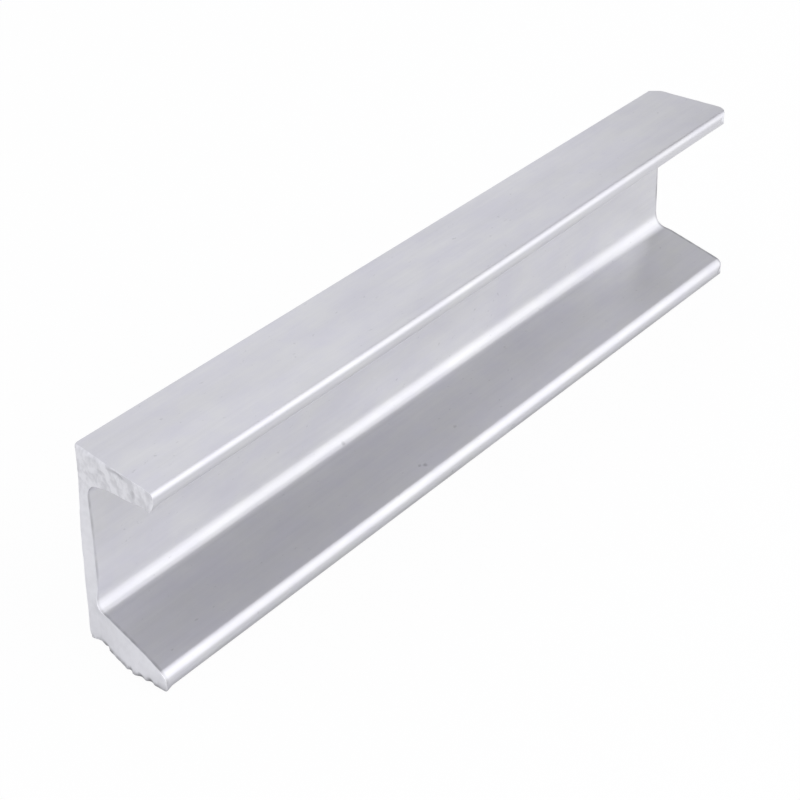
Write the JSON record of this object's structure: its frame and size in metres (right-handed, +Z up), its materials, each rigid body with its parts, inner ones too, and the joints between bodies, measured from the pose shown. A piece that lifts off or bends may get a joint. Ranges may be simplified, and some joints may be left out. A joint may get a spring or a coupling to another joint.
{
  "type": "stainless steel channel",
  "caption": "Short length of rolled stainless steel channel with tapered flanges, rounded roots and toes, one end cut square with its toes' corners ground round, and the other cut by hand.",
  "frame": {"origin": "centre of the overall box, at the outer face of the lower flange that it stands on", "axes": "+X along the length from the hand-cut end to the square end, +Y from the flange toes to the back of the web, +Z up the height of the web"},
  "size_m": [0.37, 0.043, 0.08],
  "materials": {
    "stainless_steel": "pickled hot-rolled stainless steel, dull satin, with fine streaks along the length"
  },
  "bodies": {
    "root": {"channel": "stainless_steel"}
  },
  "joints": []
}
